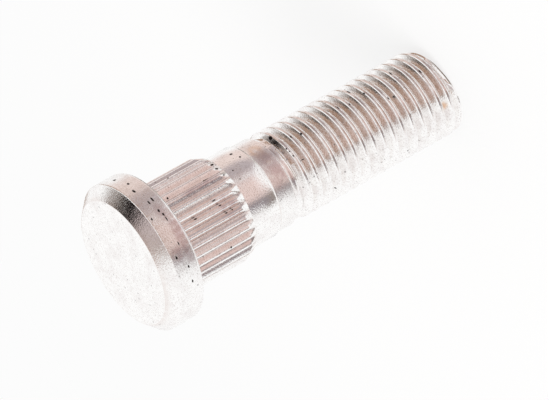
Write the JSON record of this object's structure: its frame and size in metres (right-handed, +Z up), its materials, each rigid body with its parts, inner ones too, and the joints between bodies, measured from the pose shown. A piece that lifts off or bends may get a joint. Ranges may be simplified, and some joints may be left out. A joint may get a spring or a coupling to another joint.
{
  "type": "wheel bolt",
  "caption": "Press-in wheel bolt with a round bevelled head, a serrated press-fit shoulder, a plain neck and a right-hand M12 x 1.5 thread",
  "frame": {"origin": "the middle of the end face of the thread, on which the bolt stands", "axes": "+Z runs up the bolt's axis from the end of the thread to the face of the head; +X and +Y are square to it"},
  "size_m": [0.0196, 0.0196, 0.0482],
  "materials": {
    "zinc_plated_steel": "bright zinc plating over cold-headed and rolled steel, faintly grainy, with fine dark specks"
  },
  "bodies": {
    "root": {"wheel_bolt": "zinc_plated_steel"}
  },
  "joints": []
}
